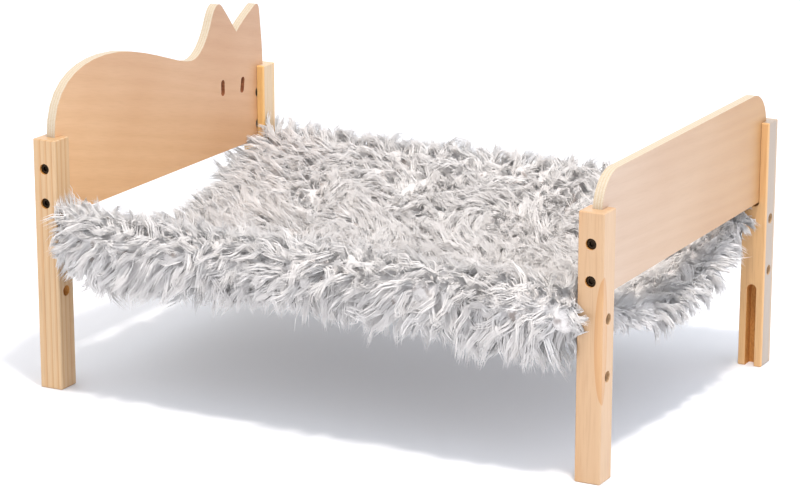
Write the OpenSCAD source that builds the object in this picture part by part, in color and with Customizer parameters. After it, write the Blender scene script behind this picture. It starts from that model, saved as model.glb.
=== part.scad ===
// Low cat bed with a plush sling. A headboard cut as a lying cat and a plain footboard slide into grooves in
// four square posts, and the sling hangs on two round rails that are bolted between the posts.
// Millimetres. The origin is on the floor under the middle of the bed, the headboard is at -X, the front at -Y.

/* [Bed] */
// Length of the bed over the posts
bed_length = 600; // [480:5:800]
// Depth of the bed over the posts
bed_depth = 415; // [340:5:560]

/* [Posts] */
// Height of a post
post_height = 250; // [235:1:320]
// Side of a post's square section
post_side = 25; // [24:0.5:32]
// Chamfer that eases every outer edge of a post
post_chamfer = 1; // [0.4:0.1:2]
// Length of a groove, from a post's end to the bottom of its round end
groove_length = 85; // [76:1:94]
// Depth of a groove into a post
groove_depth = 13; // [11:0.5:14]

/* [Boards] */
// Thickness of the headboard and the footboard
board_thickness = 9.5; // [9:0.1:12]
// Gap between a board and each wall of its groove
board_side_gap = 0.25; // [0.1:0.05:0.5]
// Gap between a board's end and the bottom of its groove
board_end_gap = 0.4; // [0.2:0.1:0.8]
// Height of the footboard above the posts
footboard_rise = 31; // [15:1:60]
// Radius of the footboard's top corners
footboard_corner_radius = 34; // [12:1:80]
// Height of the taller ear above the posts
headboard_rise = 79; // [55:1:120]
// Width of an eye slot
eye_width = 7; // [4:0.5:10]
// Height of an eye slot
eye_height = 17; // [11:0.5:24]
// Lean of the far eye, in degrees
far_eye_lean = 10; // [0:1:20]

/* [Bolts and barrel nuts] */
// Diameter of a bolt's shank
bolt_diameter = 6; // [5:0.5:6]
// Length of a bolt under its head
bolt_length = 20; // [17:0.5:24]
// Diameter of a bolt's head
bolt_head_diameter = 10; // [8.5:0.5:11]
// Height of a bolt's head
bolt_head_height = 6; // [4:0.5:7]
// Width of the hexagon socket in a bolt's head, across its flats
bolt_key_width = 5; // [4:0.5:5]
// Depth of the hexagon socket
bolt_key_depth = 3; // [2:0.5:3.5]
// How far the board bolts' heads lie below a post's face
board_bolt_recess = 2; // [0.5:0.5:3]
// Drop of the upper board bolts from a post's top
board_bolt_drop = 29; // [20:1:36]
// Lift of the lower board bolts from a board's lower edge
board_bolt_lift = 17; // [10:1:24]
// Diameter of a barrel nut
nut_diameter = 10; // [9:0.5:12]
// Wood that is left behind a barrel nut's blind hole
nut_cover = 1; // [0.5:0.1:2]
// From a board's end to a barrel nut's axis
nut_setback = 10.5; // [9:0.5:14]

/* [Rails] */
// Diameter of a rail
rail_diameter = 18; // [15:0.5:22]
// From a groove's round end to the axis of the nearer rail hole
rail_hole_drop = 13.5; // [9:0.5:22]
// How far the rail bolts' heads lie below a post's face
rail_bolt_recess = 7; // [5:0.5:8]
// Diameter of the threaded insert in a rail's end
insert_diameter = 9; // [8:0.5:10]
// Length of the insert inside the rail
insert_length = 15; // [12:0.5:24]
// Diameter of the insert's collar, which seats in the post
collar_diameter = 10; // [9:0.5:12]
// Length of the insert's collar
collar_length = 7.6; // [5:0.2:8]

/* [Sling] */
// Thickness of the sling's cloth
cloth_thickness = 2; // [1:0.1:3]
// Height of the plush pile, up to the middle of its uneven tips
pile_height = 20; // [10:1:34]
// Sag of the sling's cloth below the rails' axes
sling_sag = 44; // [20:1:60]
// Gap between the sling's free ends and the posts
sling_end_gap = 2; // [1:0.5:10]
// Width of the turned-under hem at a free end
hem_width = 14; // [8:1:25]
// Gap between the boards and the plush that swells past the sling's free ends
plush_board_gap = 2; // [1:0.5:6]

/* [Hidden] */
$fn = 96;

// Clearances and the overrun of cuts
overrun = 1;
bolt_hole_gap = 0.25;
head_gap = 0.2;
thread_gap = 0.05;
nut_gap = 0.1;
bolt_tip_gap = 1.5;
insert_gap = 0.05;
insert_end_gap = 0.5;
collar_gap = 0.2;
collar_end_gap = 0.4;
cloth_gap = 0.3;

// Places of the posts, boards and rails
post_x = bed_length / 2 - post_side / 2;
post_y = bed_depth / 2 - post_side / 2;
groove_width = board_thickness + 2 * board_side_gap;
groove_tangent = groove_length - groove_width / 2;
board_half_span = post_y - post_side / 2 + groove_depth - board_end_gap;
board_bottom = post_height - groove_tangent;
board_top = post_height + footboard_rise;
upper_rail_height = post_height - groove_length - rail_hole_drop;
lower_rail_height = post_height - upper_rail_height;
rail_length = bed_length - 2 * post_side;

// Bolt heights, and depths from a post's outer face
board_bolt_heights = [post_height - board_bolt_drop, board_bottom + board_bolt_lift];
board_bolt_seat = board_bolt_recess + bolt_head_height;
rail_bolt_seat = rail_bolt_recess + bolt_head_height;
collar_seat = collar_length + collar_end_gap;
bolt_hole_radius = bolt_diameter / 2 + bolt_hole_gap;
head_hole_radius = bolt_head_diameter / 2 + head_gap;
nut_length = board_thickness - 2 * nut_cover;
nut_y = board_half_span - nut_setback;
board_hole_depth = board_bolt_seat + bolt_length + bolt_tip_gap;
rail_bolt_reach = rail_bolt_seat + bolt_length - post_side;
rail_bore_depth = max(insert_length, rail_bolt_reach) + insert_end_gap;

// The headboard's top edge is a chain of cubic curves from the near post to the far one. Each pair gives a
// share of the board's span and a share of the taller ear's height: an end, two handles, the next end.
headboard_edge_shares = [
    [0, 0], [0, 0.58], [0.09, 0.82], [0.23, 0.82],
    [0.39, 0.82], [0.575, 0.37], [0.635, 0.37],
    [0.68, 0.37], [0.715, 0.56], [0.74, 0.83],
    [0.75, 0.93], [0.762, 1], [0.776, 1],
    [0.786, 1], [0.793, 0.96], [0.804, 0.9],
    [0.825, 0.79], [0.845, 0.67], [0.865, 0.555],
    [0.89, 0.66], [0.925, 0.745], [0.954, 0.82],
    [0.972, 0.875], [0.983, 0.85], [0.986, 0.74],
    [0.992, 0.5], [1, 0.25], [1, 0],
];
near_eye_shares = [0.791, -0.14];
far_eye_shares = [0.892, -0.19];
curve_steps = 8;

// Sling section: the cloth hangs in a parabola between the pockets that go round the rails
pocket_inner_radius = rail_diameter / 2 + cloth_gap;
pocket_outer_radius = pocket_inner_radius + cloth_thickness;
plush_inner_radius = pocket_outer_radius + cloth_gap;
plush_outer_radius = plush_inner_radius + pile_height;
sling_half_span = post_y - pocket_outer_radius - cloth_gap;
sling_length = rail_length - 2 * sling_end_gap;
sling_steps = 24;
sling_places = [for (i = [0 : sling_steps]) (2 * i / sling_steps - 1) * sling_half_span];

// The plush swells past the cloth at the free ends and hangs over its edge. Each pair gives a share of the
// swell's reach past the cloth and a share of the pile's height, from the top round the end to the cloth.
plush_swell = post_x - board_thickness / 2 - plush_board_gap - sling_length / 2;
plush_swell_shares = [[-1, 1], [0.4, 0.85], [1, 0.45], [1, -0.05], [0.6, -0.25], [0.05, -0.2], [0.05, 0]];

// Colours as the photograph shows them
pine = [0.88, 0.74, 0.58];
plywood = [0.89, 0.78, 0.66];
dowel_wood = [0.86, 0.72, 0.54];
black_steel = [0.07, 0.07, 0.08];
zinc = [0.72, 0.73, 0.74];
backing_grey = [0.74, 0.73, 0.72];
plush_white = [0.9, 0.9, 0.89];

// A point on a cubic curve with the ends a and d and the handles b and c
function cubic(a, b, c, d, t) =
    pow(1 - t, 3) * a + 3 * pow(1 - t, 2) * t * b + 3 * (1 - t) * t * t * c + pow(t, 3) * d;

// A headboard point from its shares of the span and the rise
function headboard_point(shares) = [
    (2 * shares[0] - 1) * board_half_span,
    post_height + shares[1] * headboard_rise,
];

// Height of the sling's lower face at a distance y from the bed's middle
function cloth_height(y) =
    upper_rail_height - cloth_thickness / 2 - sling_sag * (1 - pow(y / sling_half_span, 2));

// Section of a layer of the sling, from one lift above the cloth's lower face to another
function sling_section(low, high) = concat(
    [for (y = sling_places) [y, cloth_height(y) + high]],
    [for (i = [sling_steps : -1 : 0]) [sling_places[i], cloth_height(sling_places[i]) + low]]
);

// Stands an outline drawn in Y and Z upright and gives it a length along X, from its own middle
module along_x(length) {
    rotate([90, 0, 90])
        linear_extrude(height = length, center = true)
            children();
}

// Square with chamfered corners
module eased_rectangle(width, height, chamfer) {
    x = width / 2;
    y = height / 2;
    polygon([
        [x - chamfer, y], [x, y - chamfer], [x, chamfer - y], [x - chamfer, -y],
        [chamfer - x, -y], [-x, chamfer - y], [-x, y - chamfer], [chamfer - x, y],
    ]);
}

// Groove with a round inner end, cut upwards from a post's foot into its +Y face
module foot_groove() {
    translate([0, post_side / 2 + overrun, 0])
        rotate([90, 0, 0])
            linear_extrude(height = groove_depth + overrun) {
                translate([0, groove_tangent])
                    circle(d = groove_width);
                translate([-groove_width / 2, -overrun])
                    square([groove_width, groove_tangent + overrun]);
            }
}

// Stepped hole along X for a rail: a bolt head's seat at -X, a bolt's waist, an insert's seat at +X
module rail_hole() {
    rotate([0, 90, 0]) {
        cylinder(r = bolt_hole_radius, h = post_side + overrun, center = true);
        translate([0, 0, -post_side / 2 - overrun])
            cylinder(r = head_hole_radius, h = rail_bolt_seat + overrun);
        translate([0, 0, post_side / 2 - collar_seat])
            cylinder(r = collar_diameter / 2 + collar_gap, h = collar_seat + overrun);
    }
}

// Stepped hole along Y for a board bolt, from a post's -Y face into its groove
module board_hole() {
    translate([0, -post_side / 2 - overrun, 0])
        rotate([-90, 0, 0]) {
            cylinder(r = head_hole_radius, h = board_bolt_seat + overrun);
            cylinder(r = bolt_hole_radius, h = post_side - groove_depth + 2 * overrun);
        }
}

// Post as it stands at the front left: grooves in the +Y face at both ends, rail holes along X
module post() {
    difference() {
        intersection() {
            linear_extrude(height = post_height)
                eased_rectangle(post_side, post_side, post_chamfer);
            translate([0, 0, post_height / 2])
                along_x(post_side)
                    eased_rectangle(post_side, post_height, post_chamfer);
            translate([0, 0, post_height / 2])
                rotate([0, 0, 90])
                    along_x(post_side)
                        eased_rectangle(post_side, post_height, post_chamfer);
        }
        foot_groove();
        translate([0, 0, post_height])
            mirror([0, 0, 1])
                foot_groove();
        for (height = [upper_rail_height, lower_rail_height])
            translate([0, 0, height])
                rail_hole();
        for (height = board_bolt_heights)
            translate([0, 0, height])
                board_hole();
    }
}

// Copies what stands at the front left to the end and the side given, each -1 or 1
module placed(end, side) {
    translate([end * post_x, side * post_y, 0])
        mirror([end > 0 ? 1 : 0, 0, 0])
            mirror([0, side > 0 ? 1 : 0, 0])
                children();
}

// Cap screw with a hexagon socket; its seat is at z = 0 and its shank points up
module bolt() {
    difference() {
        union() {
            translate([0, 0, -bolt_head_height])
                cylinder(d = bolt_head_diameter, h = bolt_head_height);
            cylinder(d = bolt_diameter, h = bolt_length);
        }
        translate([0, 0, -bolt_head_height - overrun])
            cylinder(d = bolt_key_width / cos(30), h = bolt_key_depth + overrun, $fn = 6);
    }
}

// Bolts that hold one board to its two posts
module board_bolts(end) {
    color(black_steel)
        for (side = [-1, 1], height = board_bolt_heights)
            placed(end, side)
                translate([0, board_bolt_seat - post_side / 2, height])
                    rotate([-90, 0, 0])
                        bolt();
}

// Cross dowels in one board, each tapped across its middle for a board bolt
module barrel_nuts(end) {
    color(zinc)
        for (side = [-1, 1], height = board_bolt_heights)
            translate([end * post_x, side * nut_y, height])
                difference() {
                    rotate([0, 90, 0])
                        cylinder(d = nut_diameter, h = nut_length, center = true);
                    rotate([90, 0, 0])
                        cylinder(r = bolt_diameter / 2 + thread_gap, h = nut_diameter + overrun, center = true);
                }
}

// Holes in a board at one end of the bed: bolt holes from its ends, nut holes from its inner face
module board_holes(end) {
    hole_length = board_hole_depth - post_side + groove_depth - board_end_gap;
    for (side = [-1, 1], height = board_bolt_heights) {
        translate([end * post_x, side * (board_half_span + overrun), height])
            rotate([side * 90, 0, 0])
                cylinder(r = bolt_hole_radius, h = hole_length + overrun);
        translate([end * (post_x + nut_length / 2), side * nut_y, height])
            rotate([0, -end * 90, 0])
                cylinder(d = nut_diameter + 2 * nut_gap, h = board_thickness + overrun);
    }
}

// Slot with round ends for an eye, drawn about its middle
module eye_slot(lean) {
    straight = eye_height - eye_width;
    rotate(-lean) {
        square([eye_width, straight], center = true);
        for (way = [-1, 1])
            translate([0, way * straight / 2])
                circle(d = eye_width);
    }
}

module headboard_outline() {
    last = len(headboard_edge_shares) - 1;
    edge = [for (k = [0 : 3 : last - 3], i = [0 : curve_steps - 1]) headboard_point(cubic(
        headboard_edge_shares[k],
        headboard_edge_shares[k + 1],
        headboard_edge_shares[k + 2],
        headboard_edge_shares[k + 3],
        i / curve_steps
    ))];
    ends = [
        headboard_point(headboard_edge_shares[last]),
        [board_half_span, board_bottom],
        [-board_half_span, board_bottom],
    ];
    difference() {
        polygon(concat(edge, ends));
        translate(headboard_point(near_eye_shares))
            eye_slot(0);
        translate(headboard_point(far_eye_shares))
            eye_slot(far_eye_lean);
    }
}

module footboard_outline() {
    corner_y = board_half_span - footboard_corner_radius;
    corner_z = board_top - footboard_corner_radius;
    translate([-board_half_span, board_bottom])
        square([2 * board_half_span, corner_z - board_bottom]);
    translate([-corner_y, board_bottom])
        square([2 * corner_y, board_top - board_bottom]);
    for (way = [-1, 1])
        translate([way * corner_y, corner_z])
            circle(r = footboard_corner_radius);
}

module headboard() {
    color(plywood)
        difference() {
            translate([-post_x, 0, 0])
                along_x(board_thickness)
                    headboard_outline();
            board_holes(-1);
        }
}

module footboard() {
    color(plywood)
        difference() {
            translate([post_x, 0, 0])
                along_x(board_thickness)
                    footboard_outline();
            board_holes(1);
        }
}

// Round rail between two posts, bored at both ends for its inserts
module rail(side) {
    color(dowel_wood)
        translate([0, side * post_y, upper_rail_height])
            rotate([0, 90, 0])
                difference() {
                    cylinder(d = rail_diameter, h = rail_length, center = true);
                    for (end = [0, 1])
                        mirror([0, 0, end])
                            translate([0, 0, rail_length / 2 - rail_bore_depth])
                                cylinder(r = insert_diameter / 2 + insert_gap, h = rail_bore_depth + overrun);
                }
}

// Threaded inserts of one rail, each with a collar that sits in the post's inner seat
module rail_inserts(side) {
    color(zinc)
        for (end = [-1, 1])
            translate([end * rail_length / 2, side * post_y, upper_rail_height])
                rotate([0, end * 90, 0])
                    difference() {
                        union() {
                            cylinder(d = collar_diameter, h = collar_length);
                            translate([0, 0, -insert_length])
                                cylinder(d = insert_diameter, h = insert_length);
                        }
                        translate([0, 0, -insert_length - overrun])
                            cylinder(r = bolt_diameter / 2 + thread_gap, h = insert_length + collar_length + 2 * overrun);
                    }
}

// Bolts that hold one rail between its two posts
module rail_bolts(side) {
    color(black_steel)
        for (end = [-1, 1])
            placed(end, side)
                translate([rail_bolt_seat - post_side / 2, 0, upper_rail_height])
                    rotate([0, 90, 0])
                        bolt();
}

// Rod pocket of the sling's cloth, sewn round one rail
module pocket(side) {
    color(backing_grey)
        translate([0, side * post_y, upper_rail_height])
            along_x(sling_length)
                difference() {
                    circle(r = pocket_outer_radius);
                    circle(r = pocket_inner_radius);
                }
}

// Plush round one pocket, open on the side where the hanging cloth begins
module pocket_plush(side) {
    color(plush_white)
        translate([0, side * post_y, upper_rail_height])
            mirror([0, side > 0 ? 1 : 0, 0])
                along_x(sling_length)
                    intersection() {
                        difference() {
                            circle(r = plush_outer_radius);
                            circle(r = plush_inner_radius);
                        }
                        translate([-plush_outer_radius - overrun, -plush_outer_radius - overrun])
                            square([
                                plush_outer_radius + overrun + pocket_outer_radius,
                                2 * (plush_outer_radius + overrun),
                            ]);
                    }
}

// Hem turned under the cloth at one free end
module hem(end) {
    color(backing_grey)
        translate([end * (sling_length - hem_width) / 2, 0, 0])
            along_x(hem_width)
                polygon(sling_section(-cloth_thickness, 0));
}

module sling_backing() {
    color(backing_grey)
        along_x(sling_length)
            polygon(sling_section(0, cloth_thickness));
}

// Plush of the hanging part: one outline in X and height, carried along the cloth's section between the posts
module sling_plush() {
    right_end = [for (pair = plush_swell_shares) [
        sling_length / 2 + pair[0] * plush_swell,
        cloth_thickness + pair[1] * pile_height,
    ]];
    left_end = [for (k = [len(right_end) - 1 : -1 : 0]) [-right_end[k][0], right_end[k][1]]];
    outline = concat(right_end, left_end);
    corners = len(outline);
    walls = [for (i = [0 : sling_steps - 1], k = [0 : corners - 1]) [
        i * corners + k,
        (i + 1) * corners + k,
        (i + 1) * corners + (k + 1) % corners,
        i * corners + (k + 1) % corners,
    ]];
    front_cap = [for (k = [0 : corners - 1]) k];
    back_cap = [for (k = [corners - 1 : -1 : 0]) sling_steps * corners + k];
    color(plush_white)
        intersection() {
            polyhedron(
                points = [for (y = sling_places, corner = outline) [corner[0], y, cloth_height(y) + corner[1]]],
                faces = concat(walls, [front_cap, back_cap])
            );
            cube([bed_length, 2 * post_y - post_side - 2 * cloth_gap, 2 * post_height], center = true);
        }
}

module front_left_post() {
    color(pine)
        placed(-1, -1)
            post();
}

module front_right_post() {
    color(pine)
        placed(1, -1)
            post();
}

module back_left_post() {
    color(pine)
        placed(-1, 1)
            post();
}

module back_right_post() {
    color(pine)
        placed(1, 1)
            post();
}

front_left_post();
front_right_post();
back_left_post();
back_right_post();
headboard();
footboard();
board_bolts(-1);  // headboard_bolts
board_bolts(1);  // footboard_bolts
barrel_nuts(-1);  // headboard_barrel_nuts
barrel_nuts(1);  // footboard_barrel_nuts
rail(-1);  // front_rail
rail(1);  // back_rail
rail_inserts(-1);  // front_rail_inserts
rail_inserts(1);  // back_rail_inserts
rail_bolts(-1);  // front_rail_bolts
rail_bolts(1);  // back_rail_bolts
pocket(-1);  // front_pocket
pocket(1);  // back_pocket
pocket_plush(-1);  // front_pocket_plush
pocket_plush(1);  // back_pocket_plush
sling_backing();
sling_plush();
hem(-1);  // left_hem
hem(1);  // right_hem
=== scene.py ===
import math

import bpy
import numpy as np
from mathutils import Matrix, Vector


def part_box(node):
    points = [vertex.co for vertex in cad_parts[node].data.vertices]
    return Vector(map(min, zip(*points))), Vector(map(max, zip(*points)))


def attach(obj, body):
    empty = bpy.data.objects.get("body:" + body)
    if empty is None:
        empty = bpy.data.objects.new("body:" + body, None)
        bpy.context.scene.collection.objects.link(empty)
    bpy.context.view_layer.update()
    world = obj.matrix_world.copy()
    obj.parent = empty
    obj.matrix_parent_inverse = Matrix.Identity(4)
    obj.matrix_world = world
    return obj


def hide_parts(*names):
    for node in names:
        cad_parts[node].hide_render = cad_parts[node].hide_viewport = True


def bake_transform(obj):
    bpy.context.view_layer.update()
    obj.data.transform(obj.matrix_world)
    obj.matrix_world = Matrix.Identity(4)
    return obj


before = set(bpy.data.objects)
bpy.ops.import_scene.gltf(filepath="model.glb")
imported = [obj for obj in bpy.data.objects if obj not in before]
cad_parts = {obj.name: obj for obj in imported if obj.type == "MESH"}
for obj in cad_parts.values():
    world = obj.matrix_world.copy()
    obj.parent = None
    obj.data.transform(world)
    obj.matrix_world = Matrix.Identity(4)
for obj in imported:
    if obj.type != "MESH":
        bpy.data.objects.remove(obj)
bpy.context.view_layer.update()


# Viewpoint
# The picture was taken with a long lens from the right front, a little above the bed. The place and the lens
# were solved from the edges of the four posts.
bpy.ops.object.camera_add(
    location=(1.3084, -2.4726, 0.9048),
    rotation=(math.radians(90 - 15.451), 0, math.radians(28.097)),
)
camera = bpy.context.object
camera.name = "photo_camera"
camera.data.lens = 132.95
camera.data.sensor_width = 36
camera.data.clip_end = 60
bpy.context.scene.camera = camera


# Studio floor and light
# A seamless white floor under one soft lamp at the right front, high up, in a white room that fills the
# shadows. The lamp's direction was read from where the bed's shadow falls.
def linear(hex_colour):
    """Linear RGBA of an sRGB hex colour."""
    parts = [int(hex_colour[i:i + 2], 16) / 255 for i in (1, 3, 5)]
    return (*[c / 12.92 if c <= 0.04045 else ((c + 0.055) / 1.055) ** 2.4 for c in parts], 1)


def connect(tree, node, inputs):
    """Links sockets to a node's inputs, and sets plain values on them."""
    for name, value in inputs.items():
        if isinstance(value, bpy.types.NodeSocket):
            tree.links.new(value, node.inputs[name])
        else:
            node.inputs[name].default_value = value


def add(tree, kind, inputs=None, stops=None, **settings):
    """Adds a node, sets it, and links or sets its inputs. Stops are a ramp's places and hex colours."""
    node = tree.nodes.new(kind)
    for name, value in settings.items():
        setattr(node, name, value)
    for i, (place, colour) in enumerate(stops or []):
        element = node.color_ramp.elements[i] if i < 2 else node.color_ramp.elements.new(place)
        element.position = place
        element.color = linear(colour)
    connect(tree, node, inputs or {})
    return node


def new_material(name):
    """An empty material, its node tree and its principled shader."""
    material = bpy.data.materials.new(name)
    material.use_nodes = True
    return material, material.node_tree, material.node_tree.nodes["Principled BSDF"]


bpy.context.scene.view_settings.view_transform = "Standard"
room = bpy.data.worlds.new("white_room")
room.use_nodes = True
tree = room.node_tree
toward_right = add(tree, "ShaderNodeSeparateXYZ", {
    "Vector": add(tree, "ShaderNodeTexCoord").outputs["Generated"],
}).outputs["X"]
room_side = add(tree, "ShaderNodeMapRange", {"Value": toward_right, "From Min": -1.0}).outputs["Result"]
room_colour = add(tree, "ShaderNodeValToRGB", {"Fac": room_side}, stops=[(0.0, "#FFFDFA"), (1.0, "#EFF4FF")])
room_strength = add(tree, "ShaderNodeMapRange", {
    "Value": toward_right, "From Min": -1.0, "To Min": 1.12, "To Max": 1.36,
})
connect(tree, tree.nodes["Background"], {
    "Color": room_colour.outputs["Color"], "Strength": room_strength.outputs["Result"],
})
bpy.context.scene.world = room

lamp_offset, lamp_distance = np.array([62.0, -65.0, 250.0]), 3.0
lamp_direction = lamp_offset / np.linalg.norm(lamp_offset)
bpy.ops.object.light_add(type="AREA", location=lamp_distance * lamp_direction)
lamp = bpy.context.object
lamp.name = "soft_lamp"
lamp.rotation_euler = (
    math.acos(lamp_direction[2]),
    0,
    math.atan2(lamp_direction[1], lamp_direction[0]) + math.pi / 2,
)
lamp.data.shape = "DISK"
lamp.data.size = 0.3
lamp.data.energy = 50
lamp.data.color = linear("#FFF8F0")[:3]

bpy.ops.mesh.primitive_plane_add(size=16, location=(0, 0, 0))
floor = bpy.context.object
floor.name = "studio_floor"
painted_floor, tree, shader = new_material("Matt white studio paint")
connect(tree, shader, {"Base Color": linear("#F4F6FA"), "Roughness": 0.8, "Specular IOR Level": 0.2})
floor.data.materials.append(painted_floor)


# Posts
# Four planed square lengths of pine, grooved at both ends for a board, drilled for screws and finished with a
# clear lacquer. Every edge is sanded round, and the drilled and routed faces are left bare. Painted shade
# makes the grooves and the left posts' holes browner, and painted light makes the right posts' holes paler.
def placed(name, mesh):
    """A new object with a mesh, the only one selected and the active one."""
    piece = bpy.data.objects.new(name, mesh)
    bpy.context.collection.objects.link(piece)
    bpy.ops.object.select_all(action="DESELECT")
    piece.select_set(True)
    bpy.context.view_layer.objects.active = piece
    return piece


def eased_copy(node, name, radius):
    """A copy of a CAD node with its triangles joined into flat faces and its edges sanded round."""
    piece = placed(name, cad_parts[node].data.copy())
    piece.data.materials.clear()
    bpy.ops.mesh.customdata_custom_splitnormals_clear()
    bpy.ops.object.mode_set(mode="EDIT")
    bpy.ops.mesh.select_all(action="SELECT")
    bpy.ops.mesh.remove_doubles(threshold=1e-6)
    bpy.ops.mesh.dissolve_limited(angle_limit=math.radians(1))
    bpy.ops.object.mode_set(mode="OBJECT")
    easing = piece.modifiers.new("Eased edges", "BEVEL")
    easing.width = radius
    easing.segments = 3
    easing.limit_method = "ANGLE"
    easing.angle_limit = math.radians(30)
    easing.use_clamp_overlap = True
    bpy.ops.object.modifier_apply(modifier=easing.name)
    bpy.ops.object.shade_smooth_by_angle(angle=math.radians(32))
    flat = piece.modifiers.new("Flat faces", "WEIGHTED_NORMAL")
    flat.keep_sharp = True
    bpy.ops.object.modifier_apply(modifier=flat.name)
    return piece


def stained(tree, colour, *stains):
    """A colour darkened by stains, each a strength, a pattern and the pattern's places and hex colours."""
    for strength, pattern, stops in stains:
        stain = add(tree, "ShaderNodeValToRGB", {"Fac": pattern}, stops=stops).outputs["Color"]
        colour = add(tree, "ShaderNodeMix", {"Factor": strength, "A": colour, "B": stain},
                     data_type="RGBA", blend_type="MULTIPLY").outputs["Result"]
    return colour


# Lacquered pine shows growth rings, pale early wood and amber late wood, with fine pores along the grain,
# under a satin film. How a post was sawn from the trunk decides if they show as stripes or as one tall flame.
def planed_pine(name, heart, taper, ring_spacing, first_ring, waviness, early, late, line):
    """Pine with rings round a heart, drawn out along Z by the taper, from early wood to a late wood line."""
    material, tree, shader = new_material(name)
    place = add(tree, "ShaderNodeTexCoord").outputs["Object"]
    trunk = add(tree, "ShaderNodeMapping", {
        "Vector": place,
        "Location": (-heart[0], -heart[1], -heart[2] * taper),
        "Scale": (1, 1, taper),
    }).outputs["Vector"]
    rings = add(tree, "ShaderNodeTexWave", {
        "Vector": trunk,
        "Scale": math.pi / 10 / ring_spacing,
        "Distortion": waviness,
        "Detail": 2.0,
        "Detail Scale": 0.35,
        "Detail Roughness": 0.5,
        "Phase Offset": -2 * math.pi * (first_ring / ring_spacing % 1),
    }, wave_type="RINGS", rings_direction="SPHERICAL", wave_profile="SAW").outputs["Fac"]
    along_grain = add(tree, "ShaderNodeMapping", {"Vector": place, "Scale": (1, 1, 0.03)}).outputs["Vector"]
    pores, tint = [
        add(tree, "ShaderNodeTexNoise", {
            "Vector": along_grain, "Scale": scale, "Detail": detail,
        }).outputs["Fac"] for scale, detail in ((900.0, 2.0), (55.0, 1.0))
    ]
    ring_colour = add(tree, "ShaderNodeValToRGB", {"Fac": rings}, stops=[
        (0.0, early), (1.0, line), (0.5, early), (0.9, late),
    ]).outputs["Color"]
    wood_colour = stained(
        tree, ring_colour,
        (0.4, tint, [(0.3, "#FFFFFF"), (0.72, "#F0DFCB")]),
        (0.3, pores, [(0.32, "#D8C6B4"), (0.5, "#FFFFFF")]),
    )
    satin = add(tree, "ShaderNodeMapRange", {"Value": pores, "To Min": 0.42, "To Max": 0.58})
    relief = add(tree, "ShaderNodeBump", {"Height": pores, "Strength": 0.12, "Distance": 0.0003})
    connect(tree, shader, {
        "Base Color": wood_colour,
        "Roughness": satin.outputs["Result"],
        "Normal": relief.outputs["Normal"],
        "Coat Weight": 0.45,
        "Coat Roughness": 0.22,
    })
    return material


# Bare pine, where the router and the drill went, has no lacquer: browner, rough, with fine tool lines. It
# comes in a shaded copy, darker and oranger as painted shade in the recesses, and a lit copy, paler and
# greyer as painted light in the right posts' holes.
def bare_pine(name, dark, pale):
    """Unlacquered pine between two colours."""
    material, tree, shader = new_material(name)
    place = add(tree, "ShaderNodeTexCoord").outputs["Object"]
    tool_lines = add(tree, "ShaderNodeTexNoise", {
        "Vector": add(tree, "ShaderNodeMapping", {"Vector": place, "Scale": (1, 1, 0.2)}).outputs["Vector"],
        "Scale": 1400.0,
        "Detail": 3.0,
    }).outputs["Fac"]
    bare_colour = add(tree, "ShaderNodeValToRGB", {"Fac": tool_lines}, stops=[(0.3, dark), (0.7, pale)])
    relief = add(tree, "ShaderNodeBump", {"Height": tool_lines, "Strength": 0.3, "Distance": 0.0003})
    connect(tree, shader, {
        "Base Color": bare_colour.outputs["Color"], "Normal": relief.outputs["Normal"], "Roughness": 0.75,
    })
    return material


# The shaded copy, with painted shade, is for the grooves and the left posts' holes; the lit copy, with
# painted light, is for the right posts' holes.
bare_pine_painted_shade = bare_pine("Pine, routed, with painted shade", "#B97B38", "#D99E55")
bare_pine_painted_light = bare_pine("Pine, drilled, with painted light", "#B4926C", "#D2B18A")
post_edge, cut_margin, hole_heights = 0.0005, 0.0014, (0.088, 0.163)
post_looks = {
    "front_left_post": dict(
        name="Pine, striped", heart=(-0.3675, -0.115, 0.1), taper=0.02, ring_spacing=0.0046,
        first_ring=0.0, waviness=3.5, early="#CDAC83", late="#C69B6A", line="#B28452",
    ),
    "front_right_post": dict(
        name="Pine, one flame", heart=(0.300, -0.2055, 0.133), taper=0.136, ring_spacing=0.030,
        first_ring=0.0080, waviness=0.25, early="#CAA883", late="#CB9F6F", line="#C39462",
    ),
    # Painted bounce light: the back posts' hearts and first rings put their front faces in the late wood,
    # whose golden and amber colours stand for light thrown back by the headboard and the floor.
    "back_left_post": dict(
        name="Pine, golden front, painted bounce light", heart=(-0.2875, 0.05, 0.1), taper=0.02, ring_spacing=0.030,
        first_ring=0.1360, waviness=0.3, early="#D5BC99", late="#F0C27C", line="#EDB667",
    ),
    "back_right_post": dict(
        name="Pine, amber front, painted bounce light", heart=(0.2875, 0.05, 0.1), taper=0.02, ring_spacing=0.030,
        first_ring=0.1360, waviness=0.4, early="#A99A8B", late="#DCAF78", line="#D2A36A",
    ),
}
for node, look in post_looks.items():
    post = eased_copy(node, node.replace("post", "pine_post"), post_edge)
    post.data.materials.append(planed_pine(**look))
    post.data.materials.append(bare_pine_painted_shade)
    post.data.materials.append(bare_pine_painted_light if "right" in node else bare_pine_painted_shade)
    low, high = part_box(node)
    for face in post.data.polygons:
        inside = [low[i] + cut_margin < face.center[i] < high[i] - cut_margin for i in range(3)]
        in_hole = hole_heights[0] < face.center.z < hole_heights[1]
        face.material_index = (2 if in_hole else 1) if all(inside) else 0
    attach(post, "frame")
    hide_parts(node)
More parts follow.
